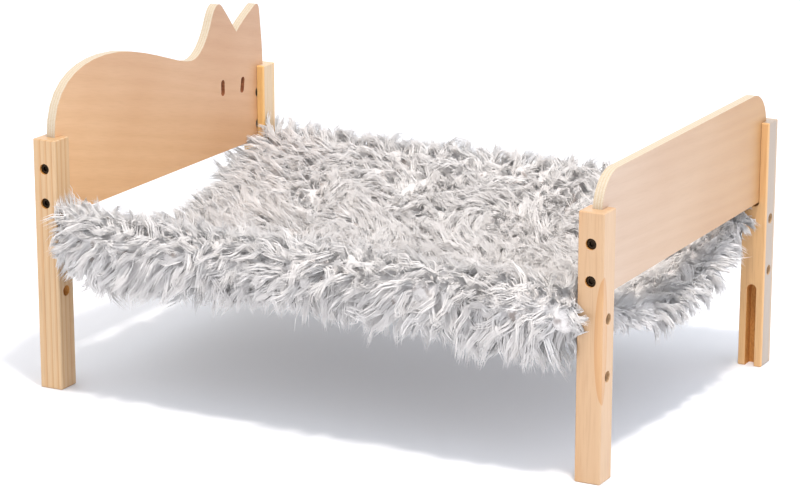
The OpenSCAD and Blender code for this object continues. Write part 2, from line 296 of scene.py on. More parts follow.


# Headboard and footboard
# Seven-ply boards 9.5 mm thick, cut to shape, sanded and lacquered. Their ends slide into the posts' grooves.
# The headboard is cut as a lying cat with two eye slots, whose walls are dark brown.
def veneered(name, near, far, painted_top_shade, grain_fall):
    """Rotary-cut face veneer: a faint wavy figure that falls along Y, slow changes of colour, and painted
    shade towards the top in a given colour.
    """
    material, tree, shader = new_material(name)
    place = add(tree, "ShaderNodeTexCoord").outputs["Object"]
    turned = add(tree, "ShaderNodeMapping", {
        "Vector": place, "Rotation": (math.radians(grain_fall), 0, 0),
    }).outputs["Vector"]
    stretched = add(tree, "ShaderNodeMapping", {"Vector": turned, "Scale": (1, 0.09, 1)}).outputs["Vector"]
    figure_spacing = 0.016
    figure = add(tree, "ShaderNodeTexWave", {
        "Vector": stretched,
        "Scale": math.pi / 10 / figure_spacing,
        "Distortion": 9.0,
        "Detail": 3.0,
        "Detail Scale": 0.9,
        "Detail Roughness": 0.55,
    }, wave_type="BANDS", bands_direction="Z", wave_profile="SIN").outputs["Fac"]
    cloud = add(tree, "ShaderNodeTexNoise", {"Vector": place, "Scale": 7.0, "Detail": 2.0}).outputs["Fac"]
    pores = add(tree, "ShaderNodeTexNoise", {
        "Vector": add(tree, "ShaderNodeMapping", {"Vector": turned, "Scale": (1, 0.06, 1)}).outputs["Vector"],
        "Scale": 700.0,
        "Detail": 2.0,
    }).outputs["Fac"]
    places = add(tree, "ShaderNodeSeparateXYZ", {"Vector": place}).outputs
    drift, rise = [
        add(tree, "ShaderNodeMapRange", {
            "Value": places[way], "From Min": low, "From Max": high,
        }).outputs["Result"] for way, low, high in (("Y", -0.19, 0.19), ("Z", 0.17, 0.33))
    ]
    lengthwise = add(tree, "ShaderNodeValToRGB", {"Fac": drift}, stops=[(0.0, near), (1.0, far)])
    veneer_colour = stained(
        tree, lengthwise.outputs["Color"],
        # Painted shade: darker and cooler towards the board's top.
        (1.0, rise, [(0.0, "#FFFFFF"), (1.0, painted_top_shade)]),
        (0.8, figure, [(0.0, "#FAF7F4"), (1.0, "#FFFFFF")]),
        (0.8, cloud, [(0.35, "#FFFFFF"), (0.65, "#F7F0E9")]),
        (0.2, pores, [(0.3, "#E4D8CC"), (0.55, "#FFFFFF")]),
    )
    satin = add(tree, "ShaderNodeMapRange", {"Value": pores, "To Min": 0.4, "To Max": 0.55})
    relief = add(tree, "ShaderNodeBump", {"Height": pores, "Strength": 0.08, "Distance": 0.0002})
    connect(tree, shader, {
        "Base Color": veneer_colour,
        "Roughness": satin.outputs["Result"],
        "Normal": relief.outputs["Normal"],
        "Coat Weight": 0.2,
        "Coat Roughness": 0.3,
    })
    return material


# A sanded plywood edge shows its plies as bands 1.36 mm wide, end grain darker than long grain.
def ply_edge(name, middle_x, ply):
    """Plywood edge with plies of one thickness on both sides of the board's middle."""
    material, tree, shader = new_material(name)
    place = add(tree, "ShaderNodeTexCoord").outputs["Object"]
    centred = add(tree, "ShaderNodeMapping", {"Vector": place, "Location": (-middle_x, 0, 0)})
    bands = add(tree, "ShaderNodeTexWave", {
        "Vector": centred.outputs["Vector"],
        "Scale": math.pi / 10 / (2 * ply),
        "Distortion": 0.6,
        "Detail": 2.0,
        "Detail Scale": 2.0,
        "Phase Offset": math.pi / 2,
    }, wave_type="BANDS", bands_direction="X", wave_profile="SIN").outputs["Fac"]
    fibres = add(tree, "ShaderNodeTexNoise", {"Vector": place, "Scale": 1100.0, "Detail": 2.0}).outputs["Fac"]
    banded = add(tree, "ShaderNodeValToRGB", {"Fac": bands}, stops=[
        (0.3, "#C4B399"), (0.7, "#CABEAB"), (0.42, "#C3B197"),
    ]).outputs["Color"]
    edge_colour = stained(tree, banded, (0.5, fibres, [(0.3, "#DCCBB4"), (0.55, "#FFFFFF")]))
    relief = add(tree, "ShaderNodeBump", {"Height": bands, "Strength": 0.15, "Distance": 0.0003})
    connect(tree, shader, {"Base Color": edge_colour, "Normal": relief.outputs["Normal"], "Roughness": 0.6})
    return material


# The eye slots' walls are matt and dark brown, with darker lines across the board's thickness.
dark_slot_wood, tree, shader = new_material("Plywood, dark brown slot walls")
place = add(tree, "ShaderNodeTexCoord").outputs["Object"]
slot_lines = add(tree, "ShaderNodeTexNoise", {
    "Vector": add(tree, "ShaderNodeMapping", {"Vector": place, "Scale": (0.1, 1, 1)}).outputs["Vector"],
    "Scale": 900.0,
    "Detail": 3.0,
}).outputs["Fac"]
slot_colour = add(tree, "ShaderNodeValToRGB", {"Fac": slot_lines}, stops=[(0.3, "#7A4526"), (0.7, "#A5673F")])
connect(tree, shader, {"Base Color": slot_colour.outputs["Color"], "Roughness": 0.8})

plies, board_edge = 7, 0.0006
eyes, eye_reach = [(0.1135, 0.2389), (0.1530, 0.2350)], 0.0105
board_looks = {
    # The headboard's fourth colour is painted shade over its upper part; the footboard's white adds none.
    "headboard": ("Poplar veneer, warm", "#EBBD89", "#D6A97F", "#DFE2F3", 13),
    "footboard": ("Poplar veneer, pale", "#C9B19C", "#BC9161", "#FFFFFF", 4),
}
for node, look in board_looks.items():
    board = eased_copy(node, node + "_plywood", board_edge)
    low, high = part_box(node)
    thickness = high[0] - low[0]
    board.data.materials.append(veneered(*look))
    board.data.materials.append(ply_edge("Plywood edge, " + node, (low[0] + high[0]) / 2, thickness / plies))
    board.data.materials.append(dark_slot_wood)
    for face in board.data.polygons:
        in_eye = node == "headboard" and any(
            math.hypot(face.center.y - y, face.center.z - z) < eye_reach for y, z in eyes
        )
        face.material_index = 0 if abs(face.normal.x) > 0.75 else 2 if in_eye else 1
    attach(board, "frame")
    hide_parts(node)


# Barrel nuts and rail inserts
# Turned steel with zinc plating, which gives a pale, slightly blotched grey shine. The nuts lie in blind
# holes in the boards, the inserts are screwed into the rails' ends, and both keep their CAD shape.
zinc, tree, shader = new_material("Zinc-plated steel")
place = add(tree, "ShaderNodeTexCoord").outputs["Object"]
crystals = add(tree, "ShaderNodeTexNoise", {"Vector": place, "Scale": 600.0, "Detail": 3.0}).outputs["Fac"]
plating = add(tree, "ShaderNodeValToRGB", {"Fac": crystals}, stops=[(0.3, "#9FA3A6"), (0.7, "#C7CACB")])
satin = add(tree, "ShaderNodeMapRange", {"Value": crystals, "To Min": 0.3, "To Max": 0.5})
connect(tree, shader, {
    "Base Color": plating.outputs["Color"], "Roughness": satin.outputs["Result"], "Metallic": 1.0,
})
for node in ("headboard_barrel_nuts", "footboard_barrel_nuts", "front_rail_inserts", "back_rail_inserts"):
    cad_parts[node].data.materials.clear()
    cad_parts[node].data.materials.append(zinc)


# Rails
# Two turned dowels, bored at their ends and held by a cap screw at each. Sanded beech is matt, with fine
# flecks along the grain. The sling hides all but a few millimetres of them, and they keep their CAD shape.
beech, tree, shader = new_material("Beech dowel, sanded")
place = add(tree, "ShaderNodeTexCoord").outputs["Object"]
flecks = add(tree, "ShaderNodeTexNoise", {
    "Vector": add(tree, "ShaderNodeMapping", {"Vector": place, "Scale": (0.05, 1, 1)}).outputs["Vector"],
    "Scale": 800.0,
    "Detail": 3.0,
}).outputs["Fac"]
beech_colour = add(tree, "ShaderNodeValToRGB", {"Fac": flecks}, stops=[(0.3, "#CFA478"), (0.7, "#E3C19A")])
relief = add(tree, "ShaderNodeBump", {"Height": flecks, "Strength": 0.1, "Distance": 0.0003})
connect(tree, shader, {
    "Base Color": beech_colour.outputs["Color"], "Normal": relief.outputs["Normal"], "Roughness": 0.6,
})
for node in ("front_rail", "back_rail"):
    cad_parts[node].data.materials.clear()
    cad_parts[node].data.materials.append(beech)


# Cap screws
# M6 socket-head cap screws, two through each post into its board and one into its rail. They are turned,
# knurled round the head and broached with a hexagon socket; the oiled black oxide is half glossy. The warm
# brown in its colour is painted reflection of the wooden holes round the heads.
oxide_steel_and_painted_reflection, tree, shader = new_material("Steel, black oxide with painted reflection")
place = add(tree, "ShaderNodeTexCoord").outputs["Object"]
mottle = add(tree, "ShaderNodeTexNoise", {"Vector": place, "Scale": 900.0, "Detail": 3.0}).outputs["Fac"]
# Painted reflection: the brown end of the mottle stands for the wood mirrored in the heads.
oxide = add(tree, "ShaderNodeValToRGB", {"Fac": mottle}, stops=[(0.3, "#1A120A"), (0.75, "#40301F")])
satin = add(tree, "ShaderNodeMapRange", {"Value": mottle, "To Min": 0.2, "To Max": 0.4})
connect(tree, shader, {
    "Base Color": oxide.outputs["Color"], "Roughness": satin.outputs["Result"], "Metallic": 0.85,
})

head_radius, head_height, shank_radius, shank_length = 0.005, 0.006, 0.003, 0.020
thread_root, thread_pitch, key_flat, key_depth, key_point = 0.00248, 0.001, 0.0025, 0.003, 0.0007
turns, knurl_share = 36, 0.975
profile = [
    (0.0034, -head_height),
    (head_radius - 0.0006, -head_height),
    (head_radius - 0.0002, -head_height + 0.0002),
    (head_radius, -head_height + 0.0006),
    (head_radius, -0.0004),
    (head_radius - 0.0003, 0),
    (shank_radius + 0.0003, 0),
    (shank_radius, 0.0003),
    (shank_radius, 0.0012),
]
crest = 0.0018
while crest < shank_length - thread_pitch:
    profile += [
        (thread_root, crest),
        (shank_radius, crest + 0.4 * thread_pitch),
        (shank_radius, crest + 0.6 * thread_pitch),
    ]
    crest += thread_pitch
profile += [(thread_root, shank_length - 0.0008), (thread_root - 0.0004, shank_length), (0, shank_length)]
screw_mesh = bpy.data.meshes.new("cap_screw")
screw_mesh.from_pydata([(r, 0, z) for r, z in profile], [(i, i + 1) for i in range(len(profile) - 1)], [])
screw = placed("cap_screw", screw_mesh)
bpy.ops.object.mode_set(mode="EDIT")
bpy.ops.mesh.select_all(action="SELECT")
bpy.ops.mesh.spin(steps=turns, angle=2 * math.pi, center=(0, 0, 0), axis=(0, 0, 1))
bpy.ops.mesh.select_all(action="SELECT")
bpy.ops.mesh.remove_doubles(threshold=1e-6)
bpy.ops.mesh.select_all(action="DESELECT")
bpy.ops.mesh.select_mode(type="VERT")
bpy.ops.mesh.select_non_manifold()
bpy.ops.mesh.extrude_region_move()
bpy.ops.object.mode_set(mode="OBJECT")
for vertex in screw_mesh.vertices:
    if vertex.select:
        turn = math.atan2(vertex.co.y, vertex.co.x)
        reach = key_flat / math.cos((turn + math.pi / 6) % (math.pi / 3) - math.pi / 6)
        vertex.co = (reach * math.cos(turn), reach * math.sin(turn), -head_height + 0.0001)
bpy.ops.object.mode_set(mode="EDIT")
bpy.ops.mesh.extrude_region_move(TRANSFORM_OT_translate={"value": (0, 0, key_depth)})
bpy.ops.mesh.extrude_region_move(TRANSFORM_OT_translate={"value": (0, 0, key_point)})
bpy.ops.mesh.merge(type="CENTER")
bpy.ops.mesh.select_all(action="SELECT")
bpy.ops.mesh.normals_make_consistent(inside=False)
bpy.ops.object.mode_set(mode="OBJECT")
for vertex in screw_mesh.vertices:
    on_side = abs(math.hypot(vertex.co.x, vertex.co.y) - head_radius) < 1e-5
    tooth = round(math.atan2(vertex.co.y, vertex.co.x) / (2 * math.pi) * turns) % 2
    if on_side and tooth:
        vertex.co.x *= knurl_share
        vertex.co.y *= knurl_share
bpy.ops.object.shade_smooth_by_angle(angle=math.radians(30))
screw_mesh.materials.append(oxide_steel_and_painted_reflection)


def screws(node, name, seats):
    """Copies of the cap screw at seats and directions, joined to one piece that stands for a CAD node."""
    copies = []
    for seat, direction in seats:
        copy = placed(name, screw_mesh.copy())
        turn = Vector((0, 0, 1)).rotation_difference(Vector(direction)).to_matrix().to_4x4()
        copy.data.transform(Matrix.Translation(seat) @ turn)
        copies.append(copy)
    for copy in copies:
        copy.select_set(True)
    bpy.context.view_layer.objects.active = copies[0]
    bpy.ops.object.join()
    piece = copies[0]
    piece.name = name
    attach(piece, "frame")
    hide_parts(node)


post_x, post_y, post_half = 0.2875, 0.195, 0.0125
board_seat, board_screw_heights = 0.008, (0.221, 0.187)
rail_seat, rail_height = 0.013, 0.1515
for end, node in ((-1, "headboard_bolts"), (1, "footboard_bolts")):
    screws(node, node.replace("bolts", "cap_screws"), [
        ((end * post_x, side * (post_y + post_half - board_seat), height), (0, -side, 0))
        for side in (-1, 1) for height in board_screw_heights
    ])
for side, node in ((-1, "front_rail_bolts"), (1, "back_rail_bolts")):
    screws(node, node.replace("bolts", "cap_screws"), [
        ((end * (post_x + post_half - rail_seat), side * post_y, rail_height), (-end, 0, 0))
        for end in (-1, 1)
    ])
bpy.data.objects.remove(screw)


# Sling cloth
# Two widths of polyester knit, seamed along the middle. Each is turned over a rail, back under it, and sewn
# to its own underside, so that the rail lies in a pocket. The plush is knitted into the upper side.
pocket_radius, cloth_thickness = 0.0113, 0.0018
half_length, end_dip = 0.273, 0.003
seam_point = np.array([-0.158, 0.1414])
rail_centre = np.array([-post_y, rail_height])
leave_turn = math.radians(60.8)
sag_low, sag_curve = 0.1085, 1.473
slack_reach, wrinkle_height, wrinkle_wave = 0.185, 0.0011, 0.07


def front_section():
    """Y and Z of the front half's outer face, from the pocket's seam round the rail to the bed's middle."""
    to_rail = rail_centre - seam_point
    reach = np.linalg.norm(to_rail)
    slant = math.atan2(to_rail[1], to_rail[0]) + math.asin(pocket_radius / reach)
    flap_length = math.sqrt(reach ** 2 - pocket_radius ** 2)
    flap_steps = np.linspace(0, flap_length, 40)[:-1, None]
    flap = seam_point + flap_steps * np.array([math.cos(slant), math.sin(slant)])
    turns_round = np.linspace(slant + math.pi / 2, leave_turn, 121)
    round_rail = rail_centre + pocket_radius * np.stack([np.cos(turns_round), np.sin(turns_round)], 1)
    hang_y = np.linspace(round_rail[-1][0], 0, 241)[1:]
    hang = np.stack([hang_y, sag_low + sag_curve * hang_y ** 2], 1)
    return np.concatenate([flap, round_rail, hang]), flap_length


section, flap_length = front_section()
section_steps = np.linalg.norm(np.diff(section, axis=0), axis=1)
section_place = np.concatenate([[0], np.cumsum(section_steps)])
cut_width = float(section_place[-1])
section_slope = np.gradient(section, section_place, axis=0)
section_slope /= np.linalg.norm(section_slope, axis=1)[:, None]


def ripple(x, y, seed, wave):
    """Smooth noise, mostly from -1 to 1, with about the given wave length, the same at every run."""
    count = 7
    draw = np.random.default_rng(seed)
    total = np.zeros_like(x)
    for _ in range(count):
        turn, phase = draw.uniform(0, 2 * math.pi, 2)
        pull = 2 * math.pi / (wave * draw.uniform(0.7, 1.5))
        total += np.sin(pull * (x * math.cos(turn) + y * math.sin(turn)) + phase)
    return total / math.sqrt(count)


def on_cloth(side, share, place, lift=0.0):
    """Points, outward normals and section directions on the front (-1) or back (1) half's outer face."""
    y, z, slope_y, slope_z = [
        np.interp(place, section_place, column) for column in (*section.T, *section_slope.T)
    ]
    slack = np.clip(1 - (y / slack_reach) ** 2, 0, 1)
    x = share * (half_length - end_dip * slack ** 2)
    past_pocket = place > flap_length + 0.05
    z = z + wrinkle_height * slack * ripple(x, -side * y, 41, wrinkle_wave) * past_pocket
    size = np.hypot(slope_y, slope_z)
    slope = np.stack([np.zeros_like(y), -side * slope_y / size, slope_z / size], -1)
    normal = np.stack([np.zeros_like(y), side * slope_z / size, slope_y / size], -1)
    points = np.stack([x, -side * y, z], -1) + np.asarray(lift)[..., None] * normal
    return points, normal, slope


def grid_faces(rows, columns):
    """Point numbers of a grid, and its four-sided faces."""
    index = np.arange(rows * columns).reshape(rows, columns)
    faces = np.stack([index[:-1, :-1], index[:-1, 1:], index[1:, 1:], index[1:, :-1]], -1)
    return index, faces.reshape(-1, 4)


def set_uv(mesh, name, places):
    """A UV map from one place for each point."""
    corner = np.zeros(len(mesh.loops), int)
    mesh.loops.foreach_get("vertex_index", corner)
    mesh.uv_layers.new(name=name).data.foreach_set("uv", places[corner].ravel())


def grid_piece(name, points, flip, thickness):
    """A sheet from a grid of points, thickened on its inner side, with a UV map in metres along the cloth."""
    _, faces = grid_faces(*points.shape[:2])
    mesh = bpy.data.meshes.new(name)
    mesh.from_pydata(points.reshape(-1, 3).tolist(), [], (faces[:, ::-1] if flip else faces).tolist())
    down = np.concatenate([[0], np.cumsum(np.linalg.norm(np.diff(points[:, 0], axis=0), axis=1))])
    flat = np.stack(np.broadcast_arrays(points[..., 0], down[:, None]), -1).reshape(-1, 2)
    set_uv(mesh, "cut_metres", flat)
    piece = placed(name, mesh)
    wall = piece.modifiers.new("Thickness", "SOLIDIFY")
    wall.thickness = thickness
    wall.offset = -1
    bpy.ops.object.modifier_apply(modifier=wall.name)
    bpy.ops.object.shade_smooth_by_angle(angle=math.radians(50))
    return piece


# Knitted polyester backing: fine ribs, drawn 1.6 mm apart instead of 0.5 so that they show, and matt.
knit, tree, shader = new_material("Polyester knit backing")
cut = add(tree, "ShaderNodeUVMap", uv_map="cut_metres").outputs["UV"]
rib_spacing = 0.0016
ribs, loops = [
    add(tree, "ShaderNodeTexWave", {
        "Vector": cut,
        "Scale": math.pi / 10 / rib_spacing,
        "Distortion": waviness,
        "Detail": 1.0,
        "Detail Scale": 3.0,
    }, wave_type="BANDS", bands_direction=way).outputs["Fac"] for way, waviness in (("X", 1.2), ("Y", 1.5))
]
stitch_height = add(tree, "ShaderNodeMath", {0: ribs, 1: loops}, operation="MULTIPLY").outputs["Value"]
knit_colour = add(tree, "ShaderNodeValToRGB", {"Fac": stitch_height}, stops=[
    (0.0, "#B3ADA8"), (0.8, "#D9D5D0"),
]).outputs["Color"]
relief = add(tree, "ShaderNodeBump", {"Height": stitch_height, "Strength": 0.5, "Distance": 0.0005})
connect(tree, shader, {
    "Base Color": knit_colour, "Normal": relief.outputs["Normal"], "Roughness": 0.9, "Sheen Weight": 0.3,
})

cloth = {}
for side, name in ((-1, "front"), (1, "back")):
    places, shares = np.meshgrid(np.linspace(0, cut_width, 101), np.linspace(-1, 1, 92), indexing="ij")
    points, _, _ = on_cloth(side, shares, places)
    half = grid_piece(name + "_sling_cloth", points, side > 0, cloth_thickness)
    half.data.materials.append(knit)
    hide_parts(name + "_pocket", "sling_backing")
    cloth[side] = half


# Hems and seams
# The cloth's free ends are turned under by 14 mm and sewn down, and each pocket is closed by one row of
# lockstitch. The thread is white polyester, twisted, with a soft shine.
hem_width, hem_thickness, hem_gap = 0.014, 0.0015, 0.0001
hem_start_y, past_rail_top = -0.154, 140
hem_from = float(np.interp(hem_start_y, section[past_rail_top:, 0], section_place[past_rail_top:]))
thread, tree, shader = new_material("Polyester sewing thread")
place = add(tree, "ShaderNodeTexCoord").outputs["Object"]
twist = add(tree, "ShaderNodeTexNoise", {"Vector": place, "Scale": 2500.0, "Detail": 1.0}).outputs["Fac"]
thread_colour = add(tree, "ShaderNodeValToRGB", {"Fac": twist}, stops=[(0.3, "#C9C5C0"), (0.7, "#F2EFEA")])
connect(tree, shader, {"Base Color": thread_colour.outputs["Color"], "Roughness": 0.5})

thread_radius, stitch_length, stitch_tip = 0.0004, 0.0022, 0.4
bpy.ops.mesh.primitive_cylinder_add(
    vertices=6, radius=thread_radius, depth=stitch_length, rotation=(0, math.pi / 2, 0),
)
stitch = bpy.context.object
bpy.ops.object.transform_apply(location=False, rotation=True, scale=False)
bpy.ops.object.mode_set(mode="EDIT")
bpy.ops.mesh.select_mode(type="FACE")
bpy.ops.mesh.select_all(action="DESELECT")
bpy.ops.object.mode_set(mode="OBJECT")
for face in stitch.data.polygons:
    face.select = abs(face.normal.x) > 0.9
bpy.ops.object.mode_set(mode="EDIT")
bpy.ops.mesh.extrude_faces_move(TRANSFORM_OT_shrink_fatten={"value": thread_radius})
bpy.ops.object.mode_set(mode="OBJECT")
for vertex in stitch.data.vertices:
    if abs(vertex.co.x) > (stitch_length + thread_radius) / 2:
        vertex.co.y *= stitch_tip
        vertex.co.z *= stitch_tip
stitch_points = np.array([vertex.co for vertex in stitch.data.vertices])
stitch_faces = [list(face.vertices) for face in stitch.data.polygons]
bpy.data.objects.remove(stitch)

stitch_pitch, hem_seam_inset, pocket_seam_inset = 0.004, 0.010, 0.003
sewn = {}
for side, name in ((-1, "front"), (1, "back")):
    sewn[side] = []
    for end, end_name in ((-1, "left"), (1, "right")):
        inner = end * (1 - hem_width / half_length)
        places, shares = np.meshgrid(
            np.linspace(hem_from, cut_width, 60),
            np.linspace(min(inner, end), max(inner, end), 6),
            indexing="ij",
        )
        points, _, _ = on_cloth(side, shares, places, lift=-cloth_thickness - hem_gap)
        hem = grid_piece(f"{name}_{end_name}_hem", points, side > 0, hem_thickness)
        hem.data.materials.append(knit)
        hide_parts(end_name + "_hem")
        sewn[side].append(hem)
    hem_places = np.arange(hem_from + 0.004, cut_width - 0.002, stitch_pitch)
    hem_row = -cloth_thickness - hem_thickness - hem_gap
    hem_share = 1 - hem_seam_inset / half_length
    pocket_shares = np.arange(-0.985, 0.986, stitch_pitch / half_length)
    spots = [(share, pocket_seam_inset, 0.0, False) for share in pocket_shares]
    spots += [(end * hem_share, spot, hem_row, True) for end in (-1, 1) for spot in hem_places]
    corners, faces = [], []
    for share, spot, lift, along_section in spots:
        point, normal, slope = on_cloth(side, np.array([share]), np.array([spot]), lift)
        long_way = slope[0] if along_section else np.array([1.0, 0.0, 0.0])
        axes = np.stack([long_way, np.cross(normal[0], long_way), normal[0]])
        faces += [[len(corners) + i for i in face] for face in stitch_faces]
        corners += (point[0] + stitch_points @ axes).tolist()
    mesh = bpy.data.meshes.new(name + "_stitches")
    mesh.from_pydata(corners, [], faces)
    stitches = placed(name + "_stitches", mesh)
    mesh.shade_smooth()
    mesh.materials.append(thread)
    sewn[side].append(stitches)


# Plush
# Long-haired acrylic fur, 30 to 45 mm long, knitted into the cloth, that lies in curling locks. It is nearly
# white and greyer in some locks, spills past the free ends and parts round the posts. Its tips are greyer and
# its roots brighter as painted shade and light, which tone down the lit tips and lift the shaded roots.
lock_spacing, lock_radius, strands_per_lock = 0.0080, 0.0043, 18
undercoat_height, pile_middle = 0.0095, 0.015
pocket_hair, sling_hair, stray_share = 0.039, 0.037, 0.05
fur_reach = np.array([0.318, 0.249, 1.0])
fur_from, pocket_to, edge_from = flap_length - 0.010, flap_length + 0.0415, flap_length + 0.044
strand_steps = np.array([0.1, 0.45, 0.75, 1.0])
strand_waist = np.array([1.0, 0.95, 0.65])
strand_radius = 0.0005

# Acrylic hair is soft and matt, with a pale sheen where it turns away. Its colour follows each strand from
# root to tip, brighter near the root and greyer at the tip as painted light and shade, and differs a little
# from lock to lock.
plush, tree, shader = new_material("Acrylic plush, long pile")
along = add(tree, "ShaderNodeAttribute", attribute_name="along").outputs["Fac"]
tone = add(tree, "ShaderNodeAttribute", attribute_name="tone").outputs["Fac"]
# Painted light and shade: both ramps run brighter near the roots and greyer at the tips.
pale = add(tree, "ShaderNodeValToRGB", {"Fac": along}, stops=[
    (0.3, "#FBF7F5"), (1.0, "#E6E2E0"), (0.5, "#FBF8F6"), (0.75, "#F3EFED"),
]).outputs["Color"]
grey = add(tree, "ShaderNodeValToRGB", {"Fac": along}, stops=[
    (0.3, "#DCD5D2"), (1.0, "#C8C3C1"), (0.5, "#DAD4D1"), (0.75, "#D2CDCB"),
]).outputs["Color"]
fur_colour = add(tree, "ShaderNodeMix", {"Factor": tone, "A": pale, "B": grey}, data_type="RGBA")
connect(tree, shader, {
    "Base Color": fur_colour.outputs["Result"],
    "Roughness": 0.6,
    "Specular IOR Level": 0.15,
    "Sheen Weight": 0.9,
    "Sheen Roughness": 0.5,
})


# The undercoat is the short dense part of the pile, a lumpy felted bed that the locks grow out of.
undercoat, tree, shader = new_material("Acrylic plush, undercoat")
place = add(tree, "ShaderNodeTexCoord").outputs["Object"]
felt = add(tree, "ShaderNodeTexNoise", {"Vector": place, "Scale": 420.0, "Detail": 4.0}).outputs["Fac"]
felt_colour = add(tree, "ShaderNodeValToRGB", {"Fac": felt}, stops=[(0.3, "#E6E1DF"), (0.65, "#F4F0EE")])
# The darker patches are partly the plush's grey roots and partly painted shade in the gaps between the locks.
roots_and_painted_shade = add(tree, "ShaderNodeTexNoise", {"Vector": place, "Scale": 75.0, "Detail": 2.0}).outputs["Fac"]
bed_colour = stained(
    tree, felt_colour.outputs["Color"], (1.0, roots_and_painted_shade, [(0.34, "#B4ACA8"), (0.46, "#FFFFFF")]),
)
relief = add(tree, "ShaderNodeBump", {"Height": felt, "Strength": 0.8, "Distance": 0.002})
connect(tree, shader, {
    "Base Color": bed_colour, "Normal": relief.outputs["Normal"], "Roughness": 0.9, "Sheen Weight": 0.4,
})


def undercoat_piece(side, name):
    """A closed lumpy layer on one half's outer face, thin at its two ends and along the pocket's seam."""
    places, shares = np.meshgrid(
        np.linspace(fur_from, cut_width, 70), np.linspace(-0.998, 0.998, 110), indexing="ij"
    )
    ground, _, _ = on_cloth(side, shares, places)
    x, y = ground[..., 0], ground[..., 1]
    height = undercoat_height * (1 + 0.22 * ripple(x, y, 51, 0.022) + 0.12 * ripple(x, y, 52, 0.009))
    end_fade, seam_fade, thinnest = 0.012, 0.010, 0.03
    height *= np.sqrt(np.clip((half_length - np.abs(x)) / end_fade, thinnest, 1))
    height *= np.sqrt(np.clip((places - fur_from) / seam_fade, thinnest, 1))
    top, _, _ = on_cloth(side, shares, places, height)
    base, _, _ = on_cloth(side, shares, places, np.full_like(x, 0.0002))
    index, faces = grid_faces(*places.shape)
    rim = np.concatenate([index[0, :], index[1:, -1], index[-1, -2::-1], index[-2:0:-1, 0]])
    after, to_base = np.roll(rim, -1), index.size
    wall = np.stack([after, rim, rim + to_base, after + to_base], -1)
    faces = np.concatenate([faces, faces[:, ::-1] + to_base, wall])
    corners = np.concatenate([top.reshape(-1, 3), base.reshape(-1, 3)])
    mesh = bpy.data.meshes.new(name)
    mesh.from_pydata(corners.tolist(), [], (faces[:, ::-1] if side > 0 else faces).tolist())
    mesh.shade_smooth()
    mesh.materials.append(undercoat)
    piece = placed(name, mesh)
    return piece


def unit(vectors):
    """Vectors at length 1."""
    return vectors / np.maximum(np.linalg.norm(vectors, axis=-1, keepdims=True), 1e-9)


def clear_of_wood(points, from_outside):
    """Points that would lie in a post or a headboard or footboard, moved out to its nearest open face."""
    gap = 0.001
    x, y, z = points[..., 0], points[..., 1], points[..., 2]
    far_x, far_y = np.abs(x), np.abs(y)
    post_in_x, post_out_x = post_x - post_half - gap, post_x + post_half + gap
    post_in_y, post_out_y = post_y - post_half - gap, post_y + post_half + gap
    past = np.maximum(far_x - post_in_x, 0)
    lap = np.where(x > 0, np.interp(z, [0.138, 0.144, 0.158, 0.165], [0.002, 0.024, 0.024, 0.002]), 0.002)
    far_x = np.where((past > 0) & (far_y > post_in_y), post_in_x + lap * np.tanh(past / lap), far_x)
    in_post = (far_x > post_in_x) & (far_x < post_out_x) & (far_y > post_in_y) & (far_y < post_out_y)
    never, seldom = 1, 0.01
    ways = np.stack([far_x - post_in_x, post_out_y - far_y, far_y - post_in_y])
    ways[1] += np.where(from_outside[:, None], 0, never)
    ways[2] += seldom
    nearest = np.argmin(ways, axis=0)
    far_x = np.where(in_post & (nearest == 0), post_in_x, far_x)
    far_y = np.where(in_post & (nearest == 1), post_out_y, far_y)
    far_y = np.where(in_post & (nearest == 2), post_in_y, far_y)
    board_in_x, board_low, board_end = 0.2827 - gap, 0.170 - gap, post_in_y + 0.014
    in_board = (far_x > board_in_x) & (z > board_low) & (far_y < board_end)
    slide_in = far_x - board_in_x < z - board_low
    far_x = np.where(in_board & slide_in, board_in_x, far_x)
    z = np.where(in_board & ~slide_in, board_low, z)
    return np.stack([np.copysign(far_x, x), np.copysign(far_y, y), z], -1)


def lock_roots(draw):
    """Where the locks grow: staggered rows all over the cloth, then three rows along each free end."""
    middle = section + pile_middle * np.stack([-section_slope[:, 1], section_slope[:, 0]], 1)
    walk = np.concatenate([[0], np.cumsum(np.linalg.norm(np.diff(middle, axis=0), axis=1))])
    walk_from = np.interp(fur_from, section_place, walk)
    rows = np.arange(walk_from, walk[-1], lock_spacing)
    shares = np.arange(-half_length + 0.002, half_length - 0.001, lock_spacing) / half_length
    jitter, edge_jitter, last_share, edge_share = 0.42, 0.4, 0.997, 0.998
    row_walk, share = np.meshgrid(rows, shares, indexing="ij")
    share = share + (np.arange(len(rows)) % 2)[:, None] * 0.5 * lock_spacing / half_length
    share = share + draw.uniform(-jitter, jitter, share.shape) * lock_spacing / half_length
    row_walk = row_walk + draw.uniform(-jitter, jitter, share.shape) * lock_spacing
    share = np.clip(share, -last_share, last_share).ravel()
    walk_place = np.clip(row_walk, walk_from, walk[-1]).ravel()
    place = np.interp(walk_place, walk, section_place)
    edge_places = np.arange(edge_from, cut_width, 0.62 * lock_spacing)
    edge_place, edge_end, edge_row = [
        grid.ravel() for grid in np.meshgrid(edge_places, [-1, 1], [0, 1, 2], indexing="ij")
    ]
    shift = draw.uniform(-edge_jitter, edge_jitter, len(edge_place)) * lock_spacing
    edge_place = np.clip(edge_place + shift, 0, cut_width)
    edge = np.concatenate([np.zeros(len(share), bool), np.ones(len(edge_place), bool)])
    share, place = np.concatenate([share, edge_share * edge_end]), np.concatenate([place, edge_place])
    walk_place = np.concatenate([walk_place, np.interp(edge_place, section_place, walk)])
    return share, place, walk_place, edge, edge_end, edge_row


